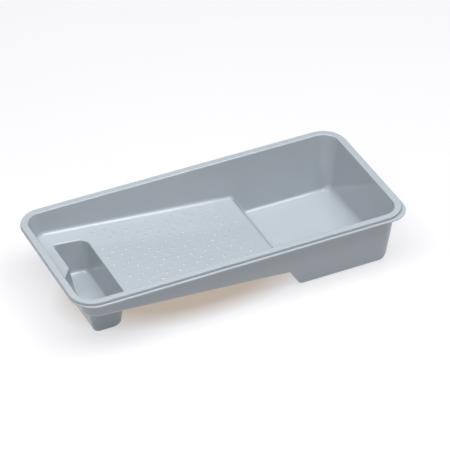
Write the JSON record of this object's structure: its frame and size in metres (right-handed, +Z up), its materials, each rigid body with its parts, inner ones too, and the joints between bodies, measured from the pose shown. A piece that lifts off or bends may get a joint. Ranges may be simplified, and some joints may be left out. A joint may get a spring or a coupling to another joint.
{
  "type": "paint roller tray",
  "caption": "Small open paint tray with a stepped rim, a ramp covered in round pips, a deep well at one end and a brush pocket that doubles as the foot",
  "frame": {"origin": "on the surface the tray stands on, under the middle of the rim's outline", "axes": "+X along the tray towards the deep paint well, +Y across the tray towards the long side without the pocket, +Z up"},
  "size_m": [0.3702, 0.1742, 0.067],
  "materials": {
    "grey_plastic": "smooth glossy injection-moulded plastic, light bluish grey"
  },
  "bodies": {
    "root": {"tray": "grey_plastic"}
  },
  "joints": []
}
